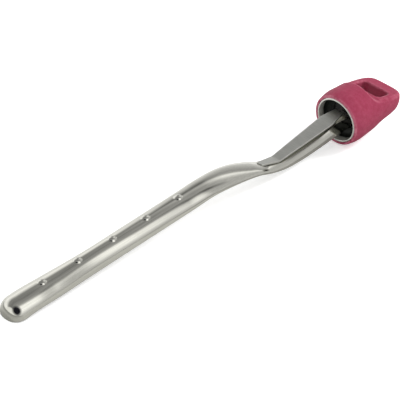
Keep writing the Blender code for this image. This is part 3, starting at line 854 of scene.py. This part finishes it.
@dataclass(frozen=True)
class GripCap(Part):
    """Rubber cap: barrel, flattened end with soft edges, hanging slot and stepped cavity."""

    names = ("rubber_grip_cap", "grip_cap", "grip_rubber")
    wall: float = 0.0015
    crown: float = 0.0011
    peak: float = 0.0080
    fall: float = 0.0026
    fullness: float = 5.2
    mouth_edge: float = 0.0007
    loop_side: float = 0.0065
    slot_corner: float = 0.0028
    flat_half: float = 0.0060
    top_roll: float = 0.0008
    under_roll: float = 0.0014
    crease_edge: float = 0.0004
    loop_edge: float = 0.0014
    slot_edge: float = 0.0012
    crease_land: float = 0.0020
    cell: float = 0.00045

    def behind(self, place: float) -> float:
        """A place along the tool, measured from the mouth."""
        return place - self.layout.mouth

    @property
    def mouth_radius(self) -> float:
        """Radius of the cap's outside at its mouth."""
        return self.layout.cup_radius + self.layout.fit_gap + self.wall

    def barrel(self, x: Array, r: Array) -> Array:
        """Distance to the turned body.

        Its radius swells from the mouth to the peak as a sine and falls slowly behind it.
        The rounded end is a superellipse in place and radius; its level is divided by its
        own steepness to read as a distance.

        Args:
            x: Places behind the mouth.
            r: Distances from the axis.

        Returns:
            Distances, below zero inside.
        """
        end, start = self.behind(self.layout.tool_end), self.behind(self.layout.scallop_start)
        swell = np.sin(0.5 * math.pi * np.clip(x / self.peak, 0.0, 1.0))
        crown = self.mouth_radius + self.crown * swell
        crown = crown - self.fall * np.clip((x - self.peak) / (end - self.peak), 0.0, 1.0)
        p = np.maximum(x - start, 0.0) / (end - start)
        q = np.maximum(r, 1e-6) / crown
        n = self.fullness
        level = np.maximum((p ** n + q ** n) ** (1.0 / n), 1e-3)
        steep = level ** (1 - n) * np.hypot(p ** (n - 1) / (end - start), q ** (n - 1) / crown)
        return (level - 1.0) / np.maximum(steep, 1e-9)

    def scallop(self, x: Array, y: Array, z: Array, heights: tuple[float, float],
                roll: float) -> Array:
        """Distance to the space cut away above one face of the loop.

        The space starts at a plane across the tool and stands on the loop's face, which is
        flat in the middle and rolls off as a square towards the sides.  A fillet as long as
        the drop joins the two.
        """
        wide = self.mouth_radius + self.crown - self.flat_half
        off = np.maximum(np.abs(y) - self.flat_half, 0.0) / wide
        face = self.layout.loop_face(x + self.layout.mouth, heights) - roll * off ** 2
        plane = self.behind(self.layout.scallop_start) - x
        return rounded_max(plane, face - z, np.array(self.layout.scallop_run))

    def opening(self, x: Array, y: Array) -> Array:
        """Distance to the hanging slot: a rectangle with round corners, seen from above."""
        middle = self.behind(0.5 * (self.layout.slot_start + self.layout.slot_end))
        dx = np.abs(x - middle) - self.layout.slot_length / 2 + self.slot_corner
        dy = np.abs(y) - (self.mouth_radius - self.loop_side) + self.slot_corner
        outside = np.hypot(np.maximum(dx, 0.0), np.maximum(dy, 0.0))
        return outside + np.minimum(np.maximum(dx, dy), 0.0) - self.slot_corner

    def cavity(self, x: Array, r: Array) -> Array:
        """Distance to the stepped space for the cup and the core."""
        gap = self.layout.fit_gap
        step = self.behind(self.layout.core_start - gap)
        back = self.behind(self.layout.core_end + gap)
        bore = np.maximum(r - self.layout.cup_radius - gap, x - step)
        chamber_radius = self.layout.cup_radius - self.layout.core_step + gap
        return np.minimum(bore, np.maximum(r - chamber_radius, x - back))

    def distance(self, x: Array, y: Array, z: Array) -> Array:
        """Distance to the whole cap, with its edges rounded.

        Args:
            x: Places behind the mouth.
            y: Places across the tool.
            z: Heights above the axis.

        Returns:
            Distances, below zero in the rubber.
        """
        r = np.hypot(y, z)
        body = rounded_max(self.barrel(x, r), -x, np.array(self.mouth_edge))
        start = self.behind(self.layout.scallop_start)
        share = np.clip((x - start - self.crease_land) / self.layout.scallop_run, 0.0, 1.0)
        edge = self.crease_edge + (self.loop_edge - self.crease_edge) * share
        upper = self.scallop(x, y, z, self.layout.loop_top, self.top_roll)
        lower = self.scallop(x, y, -z, self.layout.loop_under, self.under_roll)
        body = rounded_max(body, -upper, edge)
        body = rounded_max(body, -lower, edge)
        body = rounded_max(body, -self.opening(x, y), np.array(self.slot_edge))
        return np.maximum(body, -self.cavity(x, r))

    def slopes(self, points: Array) -> tuple[Array, Array]:
        """Distance and its slope at points, by small steps along the three axes."""
        step = 1e-5
        here = self.distance(*points.T)
        moved = [self.distance(*(points + step * axis).T) for axis in np.eye(3)]
        return here, (np.column_stack(moved) - here[:, None]) / step

    def surface(self) -> Surface:
        """Find the surface where the distance is zero and make it a mesh of quads.

        Each cell of an even grid that the surface passes through gets one point, at the
        mean of the places where its edges cross the surface.  Each grid edge that crosses
        the surface gets one quad through the four cells around it.  The points are then
        moved along the slope until their distance is zero.

        Returns:
            Points and blocks of faces.
        """
        reach = self.mouth_radius + self.crown + 2 * self.cell
        length = self.behind(self.layout.tool_end)
        xs = np.arange(-2 * self.cell, length + 3 * self.cell, self.cell)
        ys = np.arange(-reach, reach + self.cell, self.cell)
        grid = np.stack(np.meshgrid(xs, ys, ys, indexing="ij"), axis=-1)
        level = self.distance(grid[..., 0], grid[..., 1], grid[..., 2])
        inside = level < 0
        shape = np.array(inside.shape) - 1
        total, count = np.zeros((*shape, 3)), np.zeros(shape)
        crossings = []
        for axis in range(3):
            ahead = np.arange(3) == axis
            low = tuple(slice(0, n + 1 - a) for n, a in zip(shape, ahead))
            high = tuple(slice(int(a), n + 1) for n, a in zip(shape, ahead))
            crossed = inside[low] != inside[high]
            drop = np.where(crossed, level[low] - level[high], 1.0)
            share = np.where(crossed, level[low] / drop, 0.0)[..., None]
            place = grid[low] + share * (grid[high] - grid[low])
            crossings.append(crossed)
            for corner in product((0, 1), repeat=2):
                part = tuple(slice(c, c + n) for c, n in zip(np.insert(corner, axis, 0), shape))
                total += place[part] * crossed[part][..., None]
                count += crossed[part]
        used = count > 0
        number = np.full(shape, -1)
        number[used] = np.arange(used.sum())
        points = total[used] / count[used][:, None]
        faces = [self.quads_across(axis, crossings[axis], inside, number) for axis in range(3)]
        for _ in range(3):
            here, slope = self.slopes(points)
            steep = np.maximum((slope ** 2).sum(axis=1), 0.25)
            move = -(here / steep)[:, None] * slope
            points = points + np.clip(move, -0.3 * self.cell, 0.3 * self.cell)
        points[:, 0] += self.layout.mouth
        return points, faces

    def dress(self, piece: Object, material: Material) -> None:
        """Hand the cap over and keep it out of the steel's gloss."""
        super().dress(piece, material)
        piece.visible_glossy = False

    @staticmethod
    def quads_across(axis: int, crossed: Array, inside: Array, number: Array) -> Array:
        """Quads round the grid edges along one axis that cross the surface.

        Args:
            axis: The axis that the edges run along.
            crossed: Which of those edges cross the surface.
            inside: Which grid points are in the rubber.
            number: Point number of each cell.

        Returns:
            Four point numbers a face, turned so that faces point outwards.
        """
        index = np.argwhere(crossed)
        steps = [np.roll((0, *step), axis) for step in ((1, 1), (0, 1), (0, 0), (1, 0))]
        quads = np.column_stack([number[tuple((index - step).T)] for step in steps])
        leaving = inside[tuple(index.T)]
        return np.where(leaving[:, None], quads, quads[:, ::-1])


# ---------------- studio

@dataclass(frozen=True)
class ReflectedFloorShades:
    """Painted reflection: shades that the floor shows only to the steel's gloss, and the bands over
    which they start.

    They start by the handle along X, to the far side along Y and past the nose along -X.
    """

    near: Colour = (0.62, 0.62, 0.60)
    by_handle: Colour = (0.25, 0.25, 0.24)
    far_side: Colour = (0.93, 0.93, 0.92)
    past_nose: Colour = (0.38, 0.38, 0.37)
    handle_start: Pair = (0.02, 0.12)
    far_start: Pair = (-0.01, 0.03)
    nose_start: Pair = (0.145, 0.175)

    def tone(self, board: NodeBoard, vector: Socket) -> Socket:
        """Mix the painted reflection shades over the floor and return the colour."""
        place = board.split(vector)
        by_handle = board.spread(place["X"], self.handle_start)
        near = board.mix(by_handle, self.near, self.by_handle)
        card = board.mix(board.spread(place["Y"], self.far_start), near, self.far_side)
        before = board.math("MULTIPLY", place["X"], -1.0)
        return board.mix(board.spread(before, self.nose_start), card, self.past_nose)


@dataclass(frozen=True)
class LightStrips:
    """Surround light: even white on matte things, long strips of light in the gloss.

    The strips run along the tool.  Each row is an angle from straight up towards the far
    side, seen along the tool, and a grey light.  Rays that run less along the tool see the
    strips by its nose, the others see those along its middle and then those by its end.  A
    light card stands in front, and the dark operator by the camera.
    """

    white: Colour = (0.82, 0.82, 0.82)
    front_light: Colour = (1.10, 1.10, 1.08)
    operator_dark: Colour = (0.012, 0.012, 0.018)
    nose_reach: Pair = (0.50, 0.545)
    end_reach: Pair = (0.60, 0.76)
    front_reach: Pair = (0.70, 0.78)
    operator_reach: Pair = (0.77, 0.93)
    middle: Strips = (
        (-180, 0.35), (-134, 0.40), (-118, 0.44), (-80, 0.62), (-62, 0.60), (-46, 0.58),
        (-32, 0.52), (-26, 0.28), (-18, 0.12), (-12, 0.22), (-5, 0.46), (12, 0.42), (27, 0.62),
        (34, 0.44), (43, 0.16), (52, 0.28), (60, 0.46), (72, 0.66), (86, 0.84), (100, 0.95),
        (130, 1.10), (180, 0.90))
    nose: Strips = (
        (-180, 0.40), (-134, 0.60), (-116, 0.45), (-98, 0.62), (-82, 0.75), (-72, 1.05),
        (-60, 1.40), (-38, 1.45), (-30, 1.25), (-24, 0.75), (-16, 0.46), (-1, 0.35), (13, 0.25),
        (27, 0.29), (42, 0.36), (50, 0.75), (57, 1.05), (68, 1.35), (82, 1.10), (99, 1.00),
        (115, 1.10), (180, 0.90))
    end: Strips = (
        (-180, 0.40), (-120, 0.64), (-60, 0.66), (-33, 0.60), (4, 0.62), (19, 0.84), (27, 1.18),
        (37, 1.22), (44, 0.54), (56, 0.42), (72, 0.56), (95, 0.80), (180, 0.90))

    def build(self, axes: ToolAxes, look: Array) -> None:
        """Make the world that shines this light.

        Args:
            axes: The tool's axes.
            look: Direction in which the camera looks, in the tool's axes.
        """
        world = bpy.data.worlds.new("soft_surround")
        world.use_nodes = True
        bpy.context.scene.world = world
        board = NodeBoard(world.node_tree)
        mapping = board.add("ShaderNodeMapping")
        board.feed_all(mapping, Vector=board.add("ShaderNodeTexCoord").outputs["Generated"],
                       Rotation=(0.0, axes.pitch(), 0.0))
        ray = mapping.outputs["Vector"]
        way = board.split(ray)
        angle = board.math("ARCTAN2", way["Y"], way["Z"])
        share = board.math("ADD", board.math("DIVIDE", angle, 2 * math.pi), 0.5)
        by_nose = board.spread(way["X"], self.nose_reach)
        gloss = board.mix(by_nose, board.ramp(share, self.nose), board.ramp(share, self.middle))
        gloss = board.mix(board.spread(way["X"], self.end_reach), gloss, board.ramp(share, self.end))
        ahead = board.math("MULTIPLY", way["X"], -1.0)
        gloss = board.mix(board.spread(ahead, self.front_reach), gloss, self.front_light)
        toward = board.add("ShaderNodeVectorMath", operation="DOT_PRODUCT")
        board.feed(ray, toward.inputs[0])
        board.feed(tuple(-look), toward.inputs[1])
        operator = board.spread(toward.outputs["Value"], self.operator_reach)
        gloss = board.mix(operator, gloss, self.operator_dark)
        is_gloss = board.add("ShaderNodeLightPath").outputs["Is Glossy Ray"]
        board.feed_all(world.node_tree.nodes["Background"], Strength=1.0,
                       Color=board.mix(is_gloss, self.white, gloss))


@dataclass(frozen=True)
class Studio:
    """Pale floor, soft surround light, one softbox and a camera at the blade's near side."""

    aim: Triple = (0.1186, -0.0244, 0.0326)
    azimuth: float = 44.85
    elevation: float = 38.93
    distance: float = 0.9675
    lens: float = 162.0
    sensor: float = 36.0
    clip: Pair = (0.05, 50.0)
    floor_half: float = 6.0
    floor_glow: float = 0.45
    paper: tuple[Colour, Colour] = ((0.930, 0.930, 0.928), (0.945, 0.945, 0.943))
    lamp_place: Triple = (1.1, -0.5, 1.0)
    lamp_size: float = 0.45
    lamp_power: float = 13.0
    reflected_shades: ReflectedFloorShades = ReflectedFloorShades()
    strips: LightStrips = LightStrips()

    def look(self) -> Array:
        """Direction in which the camera looks, in the tool's axes."""
        a, e = math.radians(self.azimuth), math.radians(self.elevation)
        return np.array([math.cos(e) * math.cos(a), math.cos(e) * math.sin(a), -math.sin(e)])

    @staticmethod
    def stand(data: bpy.types.ID, place: Array, look: Array, turn: Array) -> Object:
        """Add a camera or lamp that looks along its -Z with its right hand level.

        Args:
            data: Its camera or light data.
            place: Its place in the world.
            look: Its direction in the axes that turn gives.
            turn: Those axes, one a column, in the world.

        Returns:
            The linked object.
        """
        right = np.cross(look, [0.0, 0.0, 1.0])
        right /= np.linalg.norm(right)
        world = np.eye(4)
        world[:3, :3] = turn @ np.column_stack([right, np.cross(right, look), -look])
        world[:3, 3] = place
        thing = add_object(data)
        thing.matrix_world = Matrix(world.tolist())
        return thing

    def make_camera(self, axes: ToolAxes) -> None:
        """Place the camera so that its right hand stays level in the tool's axes."""
        data = bpy.data.cameras.new("camera")
        data.lens, data.sensor_width = self.lens, self.sensor
        data.clip_start, data.clip_end = self.clip
        place = axes.place(np.array([self.aim]) - self.distance * self.look())[0]
        bpy.context.scene.camera = self.stand(data, place, self.look(), axes.turn)

    def make_lamp(self) -> None:
        """Place the softbox, which shines at the tool's middle and is not seen in the gloss."""
        data = bpy.data.lights.new("key_softbox", "AREA")
        data.size, data.energy = self.lamp_size, self.lamp_power
        place = np.array(self.lamp_place)
        lamp = self.stand(data, place, -place / np.linalg.norm(place), np.eye(3))
        lamp.visible_glossy = False

    def make_floor(self) -> None:
        """Pale matte floor with a faint mottle and painted reflection shades for glossy rays, lit
        through so that its shadow is faint.
        """
        h = self.floor_half
        mesh = bpy.data.meshes.new("floor")
        mesh.from_pydata([(-h, -h, 0), (h, -h, 0), (h, h, 0), (-h, h, 0)], [], [(0, 1, 2, 3)])
        material = bpy.data.materials.new("pale_paper")
        material.use_nodes = True
        board = NodeBoard(material.node_tree)
        vector = board.add("ShaderNodeTexCoord").outputs["Object"]
        paper = board.mix(board.spread(board.noise(vector, 30.0, 3.0), WIDE_BAND), *self.paper)
        light = board.add("ShaderNodeLightPath").outputs
        # Glossy rays see painted reflection shades in place of the pale paper.
        seen = board.mix(light["Is Glossy Ray"], paper, self.reflected_shades.tone(board, vector))
        glow = board.math("MULTIPLY", light["Is Camera Ray"], self.floor_glow)
        board.feed_all(material.node_tree.nodes["Principled BSDF"], Base_Color=seen, Roughness=0.9,
                       Specular_IOR_Level=0.1, Emission_Color=(1.0, 1.0, 1.0),
                       Emission_Strength=glow)
        mesh.materials.append(material)
        add_object(mesh)

    def build(self, axes: ToolAxes) -> None:
        """Set up camera, floor and light."""
        self.make_camera(axes)
        self.make_floor()
        self.strips.build(axes, self.look())
        self.make_lamp()
        bpy.context.scene.view_settings.view_transform = "Standard"
        log.info("studio: camera, floor, surround and softbox")


# ---------------- assembly

def dress_node(name: str, material: Material) -> None:
    """Give a CAD node that stays visible its finish."""
    for place in frame["nodes"][name].material_slots:
        place.material = material
    log.info("%s: CAD node with finish %s", name, material.name)


def main() -> None:
    """Build the pieces in order and hand each over to its CAD node."""
    logging.basicConfig(level=logging.INFO, format="%(name)s: %(message)s")
    layout = Layout()
    axes = ToolAxes.from_record(frame["record"], layout.slot_end, layout.slot_middle())
    shop = FinishShop(axes)
    blade = Blade(layout)
    dressed = ((blade, BLADE_FINISH), (Strap(layout, blade), STRAP_FINISH),
               (Cup(layout), CupFinish(layout.mouth)), (GripCap(layout), RubberFinish()))
    for part, finish in dressed:
        part.dress(part.build(axes), finish.make(shop))
    dress_node("handle_core", CorePlasticFinish().make(shop))
    pin_steel = PIN_FINISH.make(shop)
    for pin in ("cross_pin_front", "cross_pin_rear"):
        dress_node(pin, pin_steel)
    Studio().build(axes)


if __name__ == "__main__":
    main()
